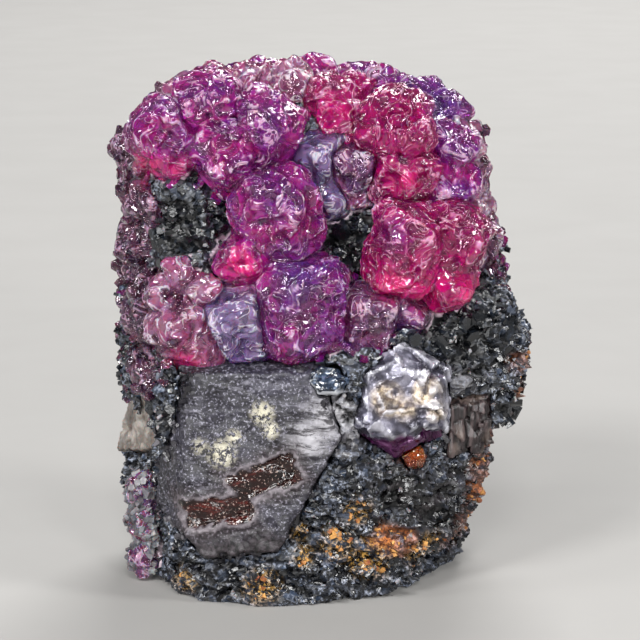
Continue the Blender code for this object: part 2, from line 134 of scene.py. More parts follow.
RUST = [
    (14.4, -1.0, 16.0, 1.9, 1.0),
    (14.2, -1.0, 14.2, 1.6, 0.9),
    (12.7, -3.0, 9.4, 2.6, 1.0),
    (12.2, -4.0, 7.2, 2.2, 0.9),
    (10.7, -6.0, 2.6, 2.2, 1.0),
    (12.4, -3.0, 4.6, 3.0, 1.0),
    (14.4, 2.0, 11.0, 3.0, 0.8),
    (4.7, -10.2, 4.6, 1.5, 1.0),
    (6.1, -9.8, 4.1, 1.4, 0.9),
    (5.6, -9.6, 11.2, 1.0, 0.6),
    (6.0, 10.5, 6.0, 5.0, 0.6),
    (-8.0, 9.0, 3.0, 3.5, 0.5),
]
OCHRE = [
    (-1.6, -11.0, 5.4, 0.9, 1.0),
    (-1.2, -11.0, 3.6, 1.0, 1.0),
    (-4.2, -11.0, 1.4, 1.8, 0.8),
    (-10.2, -10.5, 1.3, 1.4, 0.7),
    (1.4, -11.0, 4.5, 1.9, 0.6),
    (3.6, -10.5, 3.2, 2.0, 1.0),
    (8.0, -9.0, 2.7, 2.2, 0.7),
    (2.6, -10.5, 7.0, 1.4, 0.6),
    (5.7, -9.0, 18.4, 1.0, 0.8),
]
HORNBLENDE = [
    (-10.0, -8.0, 27.0, 4.6, 1.0),
    (2.0, -6.5, 26.0, 4.0, 1.0),
    (10.5, -7.0, 19.1, 5.0, 1.0),
    (7.9, -8.0, 20.4, 4.0, 1.0),
    (13.6, -2.0, 12.6, 3.0, 0.8),
    (-11.4, -8.5, 13.0, 2.6, 0.8),
    (-11.4, -9.0, 8.0, 2.4, 0.7),
]
BROWN = [
    (5.8, -9.5, 8.1, 3.4, 1.0),
    (7.8, -8.5, 6.4, 3.0, 1.0),
    (9.9, -7.0, 4.6, 2.8, 0.8),
    (9.5, -7.0, 8.4, 2.6, 0.8),
    (-8.5, -10.5, 2.4, 3.4, 0.5),
]
SCHIST = [
    (0.7, -10.8, 14.2, 2.6, 1.0),
    (-0.9, -11.4, 12.6, 2.2, 0.9),
    (1.9, -10.5, 12.7, 1.9, 0.9),
    (10.5, -7.5, 15.5, 2.0, 0.5),
]
CREAM = [
    (13.1, -3.0, 19.9, 1.1, 1.0),
    (13.9, -1.6, 15.4, 0.8, 0.9),
    (-13.6, -4.0, 10.5, 1.8, 0.6),
    (8.0, 9.0, 12.0, 3.0, 0.5),
]
GARNET_DUST = [
    (-4.1, -12.0, 14.4, 1.1, 1.1),
    (-3.5, -12.0, 13.2, 0.8, 1.0),
    (-7.0, -12.0, 11.4, 1.3, 1.1),
    (-6.1, -12.0, 12.6, 0.8, 1.0),
    (-8.6, -12.0, 11.9, 0.8, 0.8),
]
BOSSES = [
    (4.8, -12.0, 15.4, 1.5, 1.2),
    (6.0, -12.0, 14.8, 1.1, 1.1),
    (7.6, -12.0, 15.9, 1.3, 1.2),
    (8.2, -12.0, 14.6, 0.9, 1.0),
]
ROCK_PATCHES = {
    "rust": RUST, "ochre": OCHRE, "hornblende": HORNBLENDE, "brown": BROWN, "schist": SCHIST, "cream": CREAM,
}

# The small grains: how many, least and most width in mm, number of sides, least and most length in widths,
# how much of them is sunk in what they stand on, how flat they lie in the layers of the rock, and seed.
Grain = namedtuple("Grain", "count sizes sides stretch sink layered seed")
GRAINS = {
    "hornblende_grains": Grain(3400, (0.22, 0.5), 5, (0.8, 2.4), 0.68, 0.8, 11),
    "hornblende_blades": Grain(190, (0.6, 1.4), 5, (0.8, 1.7), 0.85, 0.4, 15),
    "seam_grains": Grain(1300, (0.28, 0.62), 5, (0.7, 1.5), 0.40, 0.0, 61),
    "iron_clay_grains": Grain(520, (0.2, 0.55), 5, (0.5, 1.1), 0.6, 0.0, 21),
    "chip_crumbs": Grain(260, (0.3, 0.8), 5, (0.5, 1.2), 0.6, 0.0, 25),
    "feldspar_grains": Grain(520, (0.18, 0.42), 5, (0.6, 1.3), 0.6, 0.0, 31),
    "pale_pink_granules": Grain(520, (0.5, 1.1), 6, (0.7, 1.1), 0.6, 0.0, 41),
    "magenta_granules": Grain(260, (0.5, 1.2), 6, (0.7, 1.2), 0.5, 0.0, 51),
    "plum_granules": Grain(260, (0.5, 1.2), 6, (0.7, 1.2), 0.5, 0.0, 52),
    "garnet_border_grains": Grain(900, (0.2, 0.6), 5, (0.6, 1.8), 0.55, 0.5, 71),
}
# Places tried for each grain, and grains made at a time.
TRIES = 12
BATCH = 50

# Sizes of the relief, in mm: how far above the floor it reaches its full height, the highest that a crystal's crest
# stands, and the widest seam between the rock and a crystal. Crests take less than half of each gap.
BASE_FADE = 0.6
TALLEST_CREST = 0.55
SEAM_WIDTH = 0.45
ROOM_SHARE = 0.45

# The direction across the layers of the rock.
LAYERS = Vector((0.28, -0.25, 1.0)).normalized()

# The front face of the garnet, as a point and its outward normal, and the windows in it: centre x and z,
# width, height, and how far they climb to the right, in degrees.
GARNET_POINT = np.array((-4.5, -11.9, 9.0))
GARNET_NORMAL = np.array((-0.10, -1.0, 0.06)) / math.hypot(0.10, 1.0, 0.06)
GARNET_WINDOWS = ((-3.9, 9.7, 4.9, 2.1, 26), (-7.3, 7.2, 4.7, 1.9, 12))

# The direction that the small plate faces.
PLATE_AXIS = np.array((-0.127, -0.905, 0.407))

# Directions that the faces of a small crystal look in.
FACES = np.array(
    [(1, 0, 0), (0.5, 0.866, 0), (-0.5, 0.866, 0), (0.2, 0.1, 0.85), (0.6, -0.3, 0.7), (-0.5, -0.5, 0.72)]
)

# The studio, in metres: what the lights and the camera look at, and each light's direction from there,
# width and power.
AIM = Vector((0.0, 0.0, 18.7)) * MM
LIGHT_DISTANCE = 0.8
LIGHTS = {
    "key_light": ((-0.60, -0.85, 0.90), 0.20, 3.6),
    "left_front_light": ((-0.42, -1.0, 0.22), 0.15, 2.0),
    "right_front_light": ((0.46, -1.0, 0.34), 0.15, 2.2),
    "top_front_light": ((0.02, -0.85, 0.72), 0.13, 2.0),
    "low_front_light": ((-0.10, -1.0, 0.06), 0.06, 0.7),
    "left_side_light": ((-1.0, -0.35, 0.42), 0.14, 1.6),
    "right_side_light": ((1.0, -0.45, 0.75), 0.16, 2.6),
    "back_light": ((0.20, 0.95, 0.85), 0.35, 6.0),
}
CAMERA_DISTANCE = 0.2
CAMERA_LIFT = math.radians(12)


class SpecimenSettings(bpy.types.PropertyGroup):
    crystal_mesh: FloatProperty(
        name="Crystal mesh",
        description="Size of the mesh cells on the crystals",
        default=0.13 * MM,
        min=0.08 * MM,
        unit="LENGTH",
        precision=5,
    )
    etching: FloatProperty(
        name="Etching",
        description="Depth of the hills and pits that etching left on the crystal faces",
        default=0.42 * MM,
        unit="LENGTH",
        precision=5,
    )
    crystal_swell: FloatProperty(
        name="Swell",
        description="How far the crystals grow into the gaps round them",
        default=0.06 * MM,
        unit="LENGTH",
        precision=5,
    )
    rock_mesh: FloatProperty(
        name="Rock mesh",
        description="Size of the mesh cells on the rock",
        default=0.24 * MM,
        min=0.15 * MM,
        unit="LENGTH",
        precision=5,
    )
    rock_grain: FloatProperty(
        name="Rock grain",
        description="Width of the crystal grains that the broken rock shows",
        default=0.8 * MM,
        unit="LENGTH",
        precision=5,
    )
    hornblende_count: IntProperty(
        name="Hornblende grains",
        description="How many loose-edged dark grains stand on the rock",
        default=GRAINS["hornblende_grains"].count,
        min=0,
    )
    granule_count: IntProperty(
        name="Pink granules",
        description="How many small pink crystals are scattered over the flanks",
        default=GRAINS["pale_pink_granules"].count,
        min=0,
    )
    rock_dark: FloatVectorProperty(
        name="Hornblende",
        description="Colour of the dark mineral of the rock",
        default=linear("0B0C11"),
        subtype="COLOR",
    )
    rock_light: FloatVectorProperty(
        name="Plagioclase",
        description="Colour of the light mineral of the rock",
        default=linear("565C6A"),
        subtype="COLOR",
    )
    floor_colour: FloatVectorProperty(
        name="Floor", description="Colour of the floor", default=linear("A09E9B"), subtype="COLOR"
    )
    light_strength: FloatProperty(name="Light", description="Strength of the studio lights", default=1.0, min=0.0)


def settings():
    """The sizes, counts and colours chosen in the sidebar."""
    return bpy.context.scene.specimen


# Meshes


def add_piece(name, bm):
    """Links a new object that holds the bmesh."""
    mesh = bpy.data.meshes.new(name)
    bm.to_mesh(mesh)
    bm.free()
    piece = bpy.data.objects.new(name, mesh)
    bpy.context.scene.collection.objects.link(piece)
    return piece


def copy_of(node, name):
    """A copy of a solid with its loose triangles merged."""
    bm = bmesh.new()
    bm.from_mesh(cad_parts[node].data)
    bmesh.ops.remove_doubles(bm, verts=bm.verts, dist=1e-6)
    return add_piece(name, bm)


def remesh(piece, cell):
    """Rebuilds a closed mesh from even cells, which rounds its edges by about one cell."""
    step = piece.modifiers.new("remesh", "REMESH")
    step.mode = "VOXEL"
    step.voxel_size = cell
    bpy.context.view_layer.update()
    graph = bpy.context.evaluated_depsgraph_get()
    made = bpy.data.meshes.new_from_object(piece.evaluated_get(graph))
    piece.modifiers.remove(step)
    piece.data = made


def fine_copy(node, name, cell):
    """A remeshed copy of a solid, and its vertices' places in mm."""
    piece = copy_of(node, name)
    remesh(piece, cell)
    return piece, points_of(piece)[0] / MM


def soften(piece):
    """Rounds off the steps that the cells left."""
    bm = bmesh.new()
    bm.from_mesh(piece.data)
    bmesh.ops.smooth_vert(bm, verts=bm.verts, factor=0.5, use_axis_x=True, use_axis_y=True, use_axis_z=True)
    bm.to_mesh(piece.data)
    bm.free()


def points_of(piece):
    """The vertices' places and normals, as arrays of rows."""
    mesh = piece.data
    places = np.empty(len(mesh.vertices) * 3, np.float32)
    normals = np.empty(len(mesh.vertices) * 3, np.float32)
    mesh.vertices.foreach_get("co", places)
    mesh.vertices.foreach_get("normal", normals)
    return places.reshape(-1, 3).astype(float), normals.reshape(-1, 3).astype(float)


def move_out(piece, heights):
    """Moves each vertex along its normal, and no lower than the flat base."""
    places, normals = points_of(piece)
    places += normals * np.asarray(heights)[:, None]
    places[:, 2] = np.maximum(places[:, 2], 0)
    piece.data.vertices.foreach_set("co", places.astype(np.float32).ravel())
    piece.data.update()


def paint(piece, name, values):
    """Stores one number a vertex under a name that materials read."""
    attribute = piece.data.attributes.new(name, "FLOAT", "POINT")
    attribute.data.foreach_set("value", np.asarray(values, np.float32))


def place(piece, material, node=None):
    """Puts a smooth piece in a node's stead, or adds flat-sided grains."""
    piece.data.materials.clear()
    piece.data.materials.append(material)
    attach(piece, "root")
    if node:
        piece.data.shade_smooth()
        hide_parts(node)
    else:
        piece.data.shade_flat()


def hollows(piece, rounds=14):
    """How deep each vertex lies under the ground round it, in mm: below 0 on a crest."""
    places, normals = points_of(piece)
    ends = np.empty(len(piece.data.edges) * 2, np.int32)
    piece.data.edges.foreach_get("vertices", ends)
    first, second = ends.reshape(-1, 2).T
    count = np.bincount(first, minlength=len(places)) + np.bincount(second, minlength=len(places))
    smooth = places.copy()
    for _ in range(rounds):
        for axis in range(3):
            column = smooth[:, axis]
            total = np.bincount(first, column[second], len(places))
            total += np.bincount(second, column[first], len(places))
            smooth[:, axis] = total / np.maximum(count, 1)
    return np.sum((smooth - places) * normals, axis=1) / MM


def shade_relief(piece, depth):
    """Marks the hollows and the crests of a finished surface for its material."""
    deep = hollows(piece)
    paint(piece, "hollow", np.clip(deep / depth, 0, 1))
    paint(piece, "crest", np.clip(-deep / depth, 0, 1))


def spots(points, patches):
    """How much of a patch there is at each place: 1 in its middle and 0 from its radius on, drawn out along Y."""
    amount = np.zeros(len(points))
    for x, y, z, radius, strength in patches:
        away = np.linalg.norm((points - np.array((x, y, z))) * (1, 0.4, 1), axis=1) / radius
        amount = np.maximum(amount, strength * np.clip(1.25 * (1 - away), 0, 1))
    return amount


# Uneven surfaces


def scrambled(cells, seed):
    """Three even random numbers from 0 to 1 for each whole-numbered cell."""
    x, y, z = (cells[:, axis].astype(np.int64) for axis in range(3))
    key = (x * 73856093) ^ (y * 19349663) ^ (z * 83492791) ^ (seed * 2654435761)
    values = []
    for turn in (1, 2, 3):
        mix = (key * (2 * turn + 1) + turn * 974634777) & 0xFFFFFFFF
        mix = ((mix ^ (mix >> 15)) * 2246822519) & 0xFFFFFFFF
        mix = ((mix ^ (mix >> 13)) * 3266489917) & 0xFFFFFFFF
        values.append((mix ^ (mix >> 16)) / 4294967295.0)
    return np.stack(values, axis=1)


def waves(points, seed=0):
    """Smooth hills and hollows, about -1 to 1, one unit apart."""
    base = np.floor(points)
    part = points - base
    fade = part**3 * (part * (part * 6 - 15) + 10)
    total = np.zeros(len(points))
    for corner in product((0, 1), repeat=3):
        slope = scrambled(base + corner, seed) * 2 - 1
        weight = np.prod(np.where(np.array(corner) == 1, fade, 1 - fade), axis=1)
        total += weight * np.sum(slope * (part - corner), axis=1)
    return total * 1.5


def crests(points, seed=0):
    """Sharp winding crests, 0 to 1, with flat ground between them."""
    return np.clip(1 - 2.2 * np.abs(waves(points, seed)), 0, 1) ** 3


def cells_near(points, seed):
    """The 27 cells round each place: each one, its random point, and the way from that point to the place."""
    base = np.floor(points)
    for step in product((-1, 0, 1), repeat=3):
        chance = scrambled(base + step, seed)
        yield base + step, chance, points - (base + step + chance)


def shards(points, size, seed=0):
    """Height of a surface of broken grains, each a small plane with a tilt of its own."""
    near = np.full(len(points), 9.0)
    height = np.zeros(len(points))
    for _, chance, way in cells_near(points / size, seed):
        away = np.sum(way * way, axis=1)
        closer = away < near
        near[closer] = away[closer]
        tilt = (chance[closer] * 7.31) % 1.0 - 0.5
        height[closer] = np.sum(way[closer] * tilt, axis=1)
    return height * size


def knobs(points, size, seed=0):
    """Height, 0 to 1, of a crust of small flat-sided crystals."""
    near = np.full(len(points), 9.0)
    for cell, _, way in cells_near(points / size, seed):
        lean = (scrambled(cell, seed + 1) - 0.5) * 0.9
        away = np.abs(way @ FACES.T).max(axis=1) + np.sum(way * lean, axis=1)
        near = np.minimum(near, away)
    return 1 - near


# Materials


def output_of(tree, source):
    """The socket that a source means: itself, a node's first output, or a painted attribute by its name."""
    if isinstance(source, str):
        return add(tree, "Attribute", {"attribute_name": source}).outputs["Fac"]
    return source if isinstance(source, bpy.types.NodeSocket) else source.outputs[0]


def add(tree, kind, values=None, links=None):
    """Adds a node with its settings, and the sources that feed its inputs."""
    node = tree.nodes.new("ShaderNode" + kind)
    for key, value in (values or {}).items():
        if isinstance(key, int) or key in node.inputs:
            node.inputs[key].default_value = value
        else:
            setattr(node, key, value)
    for key, source in (links or {}).items():
        tree.links.new(output_of(tree, source), node.inputs[key])
    return node


def new_material(name):
    """A material with no surface yet, its node tree, and each point's place on the object."""
    material = bpy.data.materials.new(name)
    material.use_nodes = True
    material.node_tree.nodes.clear()
    return material, material.node_tree, add(material.node_tree, "TexCoord").outputs["Object"]


def finished(material, values, links, depth=None):
    """Gives a material its surface, and what its depth takes from the light."""
    ends = {"Surface": add(material.node_tree, "BsdfPrincipled", values, links)}
    if depth:
        ends["Volume"] = depth
    add(material.node_tree, "OutputMaterial", links=ends)
    return material


def steps(tree, factor, stops):
    """A colour ramp over a factor: stops are (position, hex colour or grey)."""
    ramp = add(tree, "ValToRGB", links={"Fac": factor})
    elements = ramp.color_ramp.elements
    while len(elements) > 1:
        elements.remove(elements[-1])
    for number, (position, colour) in enumerate(stops):
        element = elements[0] if number == 0 else elements.new(position)
        element.position = position
        shade = linear(colour) if isinstance(colour, str) else (colour, colour, colour)
        element.color = (*shade, 1.0)
    return ramp


def rising(tree, factor, low, high, most=1.0):
    """A mask that is 0 up to the low factor and the most from the high one on."""
    return steps(tree, factor, [(low, 0.0), (high, most)])


def mixed(tree, mask, first, second):
    """Mixes two colours by a mask. A colour is a source, a hex colour or linear RGB."""
    node = add(tree, "Mix", {"data_type": "RGBA"}, {0: mask})
    for key, colour in ((6, first), (7, second)):
        if isinstance(colour, str):
            colour = linear(colour)
        if isinstance(colour, tuple):
            node.inputs[key].default_value = (*colour, 1.0)
        else:
            tree.links.new(output_of(tree, colour), node.inputs[key])
    return node.outputs[2]


def coated(tree, base, *coats):
    """Lays colours over a base one after the other, each where its mask says."""
    for mask, colour in coats:
        base = mixed(tree, mask, base, colour)
    return base


def product_of(tree, first, second):
    """Multiplies two masks."""
    return add(tree, "Math", {"operation": "MULTIPLY", "use_clamp": True}, {0: first, 1: second})


def facets(tree, where, scale, reach, normal=None):
    """Tilts the surface in small flat facets, each with a tilt of its own: the facets' cells and the new normal."""
    cells = add(tree, "TexVoronoi", {"Scale": scale, "Randomness": 1.0}, {"Vector": where})
    away = add(tree, "VectorMath", {"operation": "SUBTRACT"}, {0: where, 1: cells.outputs["Position"]})
    tilt = add(tree, "VectorMath", {"operation": "SUBTRACT", 1: (0.5, 0.5, 0.5)}, {0: cells.outputs["Color"]})
    plane = add(tree, "VectorMath", {"operation": "DOT_PRODUCT"}, {0: away, 1: tilt})
    links = {"Height": plane.outputs["Value"]}
    if normal:
        links["Normal"] = normal
    return cells, add(tree, "Bump", {"Strength": 1.0, "Distance": reach}, links)


def bent(tree, where, scale, amount):
    """Places moved a little by noise, so that straight borders turn ragged."""
    drift = add(tree, "TexNoise", {"Scale": scale, "Detail": 0.0}, {"Vector": where})
    centred = add(tree, "VectorMath", {"operation": "SUBTRACT", 1: (0.5, 0.5, 0.5)}, {0: drift.outputs["Color"]})
    return add(
        tree, "VectorMath", {"operation": "MULTIPLY_ADD", 1: (amount, amount, amount)}, {0: centred, 2: where}
    )


def etched_corundum(name, gem):
    """Clear corundum whose faces nature etched: glassy, crinkled like foil, over a deep and uneven body colour."""
    material, tree, where = new_material(name)
    # The colour changes through a crystal in clouds 2 to 3 mm wide.
    clouds = add(tree, "TexNoise", {"Scale": 380.0, "Detail": 3.0, "Distortion": 0.8}, {"Vector": where})
    # Etching leaves facets 1.1 mm wide, with smaller ones 0.4 mm wide between them. Some are painted dark
    # as shade, where they would look into the dark.
    ragged = bent(tree, where, 900.0, 0.0011)
    wide, broad = facets(tree, ragged, 900.0, 0.8)
    small, fine = facets(tree, ragged, 2400.0, 0.3, broad)
    wide_chance = add(tree, "SeparateColor", links={"Color": wide.outputs["Color"]})
    small_chance = add(tree, "SeparateColor", links={"Color": small.outputs["Color"]})
    # Sharp crinkles wind over the faces about 1 mm apart, and the brightest of them are painted as pale
    # threads: painted highlights, which also let less light through, as fractures do.
    crinkles = add(
        tree, "TexNoise", {"Scale": 620.0, "Detail": 2.0, "Roughness": 0.55, "Distortion": 1.4}, {"Vector": where}
    )
    centred = add(tree, "Math", {"operation": "SUBTRACT", 1: 0.5}, {0: crinkles})
    off_line = add(tree, "Math", {"operation": "ABSOLUTE"}, {0: centred})
    crease = steps(tree, off_line, [(0.0, 1.0), (0.02, 0.45), (0.08, 0.0)])
    normal = add(tree, "Bump", {"Strength": 0.9, "Distance": 0.00022}, {"Height": crease, "Normal": fine})
    lines = steps(tree, off_line, [(0.0, 1.0), (0.009, 0.0)])
    threads = product_of(tree, lines, rising(tree, clouds, 0.42, 0.50))
    # The sharpest crests are painted pale as highlights, and they let less light through as well.
    near_line = steps(tree, off_line, [(0.02, 1.0), (0.06, 0.0)])
    crest_highlight = product_of(tree, rising(tree, "crest", 0.35, 0.9, 0.8), near_line)
    # The rims painted glowing red-pink are smooth and nearly free of both.
    pale = add(tree, "Math", {"operation": "MAXIMUM"}, {0: crest_highlight, 1: threads})
    pale = product_of(tree, pale, steps(tree, "painted_glow", [(0.1, 1.0), (0.7, 0.25)]))
    body = coated(
        tree,
        mixed(tree, rising(tree, clouds, 0.40, 0.62), gem.face, gem.deep),
        ("violet", "8C50C8"),
        # Painted light: the lower rims are painted glowing red-pink.
        ("painted_glow", "FF1888"),
        # Painted shade: the hollows and the facets that look into the dark take the dark seam colour.
        ("hollow", gem.seam),
        (rising(tree, wide_chance.outputs["Green"], 0.5, 0.9, 0.6), gem.seam),
        (rising(tree, small_chance.outputs["Red"], 0.80, 0.90, 0.40), gem.seam),
        # Painted highlights: the pale threads and crests.
        (pale, gem.flash),
    )
    # Where the rims are painted glowing, less light goes through, so more of the bright body colour shows.
    clear = mixed(tree, "painted_glow", (0.77, 0.77, 0.77), (0.45, 0.45, 0.45))
    clear = mixed(tree, pale, clear, (0.30, 0.30, 0.30))
    matt = steps(tree, clouds, [(0.3, 0.02), (0.6, 0.04), (0.75, 0.09)])
    taken = {"Color": (*linear(gem.through), 1.0), "Density": float(gem.density)}
    return finished(
        material,
        {"IOR": 1.77, "Subsurface Weight": 0.6, "Subsurface Scale": 0.0006},
        {"Base Color": body, "Roughness": matt, "Normal": normal, "Transmission Weight": clear},
        add(tree, "VolumeAbsorption", taken),
    )


def broken_amphibolite(name, dark, light):
    """Dark hornblende rock, freshly broken: black glints, blue-grey layers, brown and rusty stains, pale dust."""
    material, tree, where = new_material(name)
    # Hornblende grains are about 0.5 mm. Each breaks on its own plane, so it glints by itself.
    grains, broken = facets(tree, where, 2100.0, 1.3)
    chance = add(tree, "SeparateColor", links={"Color": grains.outputs["Color"]})
    # The layers are about 1 mm thick and drawn out along the rock.
    stretch = add(tree, "Mapping", {"Rotation": (0.25, 0.28, 0.0), "Scale": (0.3, 0.3, 1.3)}, {"Vector": where})
    form = {"Scale": 900.0, "Detail": 6.0, "Roughness": 0.7, "Distortion": 0.6}
    layers = add(tree, "TexNoise", form, {"Vector": stretch})
    broad = add(tree, "TexNoise", {"Scale": 220.0, "Detail": 4.0}, {"Vector": where})
    # Dust and clay lie in fine patches 0.2 mm across.
    fine = add(tree, "TexNoise", {"Scale": 3400.0, "Detail": 4.0, "Roughness": 0.7}, {"Vector": where})
    dust = product_of(tree, rising(tree, fine, 0.57, 0.63, 0.8), rising(tree, broad, 0.44, 0.62))
    rust = product_of(tree, "rust", steps(tree, layers, [(0.40, 0.25), (0.52, 1.0)]))
    base = coated(
        tree,
        mixed(tree, rising(tree, layers, 0.50, 0.74), dark, light),
        (rising(tree, chance.outputs["Red"], 0.55, 0.6, 0.75), "0A0B0F"),
        (rising(tree, chance.outputs["Blue"], 0.84, 0.9, 0.6), "4C5A72"),
        (dust, "A09EA6"),
        # Crests flecked pale blue-grey: partly wear, partly a painted highlight.
        (product_of(tree, "crest", rising(tree, fine, 0.50, 0.60, 0.8)), "98A0B2"),
        ("brown", mixed(tree, rising(tree, layers, 0.48, 0.75), "0C0A0C", "3C3236")),
        ("hornblende", mixed(tree, rising(tree, layers, 0.52, 0.75), "040508", "28303C")),
        ("schist", mixed(tree, rising(tree, layers, 0.42, 0.56), "2E2B30", "B4B2B6")),
        # Painted shade: the hollows are painted near-black.
        ("hollow", "050507"),
        (rust, mixed(tree, rising(tree, fine, 0.42, 0.58), "4A1E0C", "CC7430")),
        (product_of(tree, "ochre", rising(tree, fine, 0.50, 0.56)), "CFA050"),
        ("cream", "D8CFC2"),
        # Painted light: the rock under the crystals is pale pink, so that light comes back through them and
        # brightens them.
        ("socket", "F2DCE8"),
    )
    normal = add(tree, "Bump", {"Strength": 0.4, "Distance": 0.00006}, {"Height": fine, "Normal": broken})
    gloss = steps(tree, chance.outputs["Red"], [(0.2, 0.5), (0.55, 0.3), (0.62, 0.14)])
    dull = mixed(tree, rust, gloss, (0.75, 0.75, 0.75))
    return finished(material, {"IOR": 1.65}, {"Base Color": base, "Roughness": dull, "Normal": normal})


def split_hornblende(name, low, middle, high):
    """Hornblende split along its cleavage: dark prisms and blades with a glassy gloss."""
    material, tree, where = new_material(name)
    broad = add(tree, "TexNoise", {"Scale": 420.0, "Detail": 5.0, "Roughness": 0.75}, {"Vector": where})
    base = steps(tree, broad, [(0.38, low), (0.54, middle), (0.68, high)])
    # Cleavage threads lie 0.1 mm apart.
    threads = add(tree, "TexNoise", {"Scale": 6000.0, "Detail": 2.0}, {"Vector": where})
    bump = add(tree, "Bump", {"Strength": 0.5, "Distance": 0.00004}, {"Height": threads})
    gloss = steps(tree, broad, [(0.3, 0.12), (0.7, 0.38)])
    return finished(material, {"IOR": 1.65}, {"Base Color": base, "Roughness": gloss, "Normal": bump})


def dusty_garnet(name):
    """Almandine garnet: a dull grey-purple skin under pale dust, and glossy dark red glass where it has chipped."""
    material, tree, where = new_material(name)
    broad = add(tree, "TexNoise", {"Scale": 240.0, "Detail": 6.0, "Roughness": 0.65}, {"Vector": where})
    fine = add(tree, "TexNoise", {"Scale": 2800.0, "Detail": 5.0, "Roughness": 0.75}, {"Vector": where})
    # Powder lies in fine flecks 0.2 mm across and in scratches, thicker in a few pale patches.
    powder = add(tree, "TexNoise", {"Scale": 5200.0, "Detail": 3.0, "Roughness": 0.65}, {"Vector": where})
    streak = add(tree, "Mapping", {"Rotation": (0.0, 0.6, 0.0), "Scale": (0.35, 1.0, 1.4)}, {"Vector": where})
    form = {"Scale": 1100.0, "Detail": 6.0, "Roughness": 0.75, "Distortion": 0.5}
    scratches = add(tree, "TexNoise", form, {"Vector": streak})
    base = coated(
        tree,
        steps(tree, broad, [(0.36, "0C0A10"), (0.5, "1E1C26"), (0.66, "343240")]),
        (rising(tree, scratches, 0.55, 0.64, 0.5), "85838F"),
        (rising(tree, powder, 0.56, 0.63, 0.75), "9492A0"),
        (steps(tree, powder, [(0.36, 0.8), (0.43, 0.0)]), "120F13"),
        ("schist", mixed(tree, rising(tree, scratches, 0.46, 0.54), "2E2B30", "A9A7AC")),
        # Darker towards the bottom, with a fine mottle.
        ("darker_below", mixed(tree, rising(tree, fine, 0.44, 0.58), "0A0809", "3E373C")),
        ("stain", mixed(tree, rising(tree, powder, 0.45, 0.6), "180A0B", "4A3A3C")),
        (product_of(tree, "cream", rising(tree, fine, 0.47, 0.52)), "CCC6B0"),
        ("ridge", "8E868C"),
        ("window", steps(tree, scratches, [(0.38, "080202"), (0.54, "1E0806"), (0.70, "541610")])),
        (product_of(tree, "window", rising(tree, powder, 0.60, 0.63, 0.9)), "A08C84"),
    )
    # The skin is rough, and the chipped glass is smooth.
    rough = mixed(tree, "window", (0.45, 0.45, 0.45), (0.06, 0.06, 0.06))
    skin_only = add(tree, "Math", {"operation": "MULTIPLY_ADD", 1: -0.42, 2: 0.5}, {0: "window"})
    _, normal = facets(tree, bent(tree, where, 900.0, 0.0006), 900.0, 0.35)
    for height, distance in ((scratches, 0.00018), (fine, 0.00006)):
        links = {"Height": height, "Strength": skin_only, "Normal": normal}
        normal = add(tree, "Bump", {"Distance": distance}, links)
    values = {"IOR": 1.79, "Specular IOR Level": 0.3}
    return finished(material, values, {"Base Color": base, "Roughness": rough, "Normal": normal})


def silvery_parting(name):
    """Corundum split on its parting: it mirrors like pewter, with beige clay bosses and a purple foot."""
    material, tree, where = new_material(name)
    broad = add(tree, "TexNoise", {"Scale": 420.0, "Detail": 5.0, "Distortion": 0.8}, {"Vector": where})
    fine = add(tree, "TexNoise", {"Scale": 2600.0, "Detail": 4.0, "Roughness": 0.75}, {"Vector": where})
    clay = product_of(tree, "cream", steps(tree, broad, [(0.38, 0.3), (0.5, 1.0)]))
    base = coated(
        tree,
        steps(tree, broad, [(0.34, "2A2834"), (0.5, "5E5C6C"), (0.62, "A6A4B4")]),
        (steps(tree, fine, [(0.34, 0.7), (0.44, 0.0)]), "3C3842"),
        (clay, mixed(tree, rising(tree, fine, 0.4, 0.6), "7A6450", "D2C0A2")),
        # Painted shade darkens the hollows, and a painted highlight brightens the crests.
        (rising(tree, "hollow", 0.2, 1.0, 0.7), "28222C"),
        (rising(tree, "crest", 0.3, 1.0, 0.5), "E6E5EE"),
        ("rim", "4A1446"),
    )
    rough = mixed(tree, "cream", (0.2, 0.2, 0.2), (0.55, 0.55, 0.55))
    # Growth steps and chips on the face, 1 mm apart.
    terraces = add(tree, "TexNoise", {"Scale": 1300.0, "Detail": 3.0, "Distortion": 1.2}, {"Vector": where})
    _, normal = facets(tree, bent(tree, where, 900.0, 0.001), 950.0, 0.8)
    for height, strength, distance in ((terraces, 0.3, 0.0003), (fine, 0.4, 0.00006)):
        values = {"Strength": strength, "Distance": distance}
        normal = add(tree, "Bump", values, {"Height": height, "Normal": normal})
    return finished(
        material, {"IOR": 1.77, "Metallic": 0.45}, {"Base Color": base, "Roughness": rough, "Normal": normal}
    )


def bright_rimmed_plate(name):
    """A small dark crystal plate, blue-black in its middle, with a bright frosted rim, painted brightest as a
    highlight on the sides that face left and down.
    """
    material, tree, where = new_material(name)
    fine = add(tree, "TexNoise", {"Scale": 2200.0, "Detail": 3.0}, {"Vector": where})
    middle = steps(tree, fine, [(0.35, "10151F"), (0.55, "2A3648"), (0.72, "6C7A92")])
    # Painted highlight: the rim colour goes where the rim is marked.
    base = mixed(tree, "rim", middle, "D8DBE0")
    bump = add(tree, "Bump", {"Strength": 0.4, "Distance": 0.00008}, {"Height": fine})
    return finished(material, {"IOR": 1.77, "Roughness": 0.12}, {"Base Color": base, "Normal": bump})


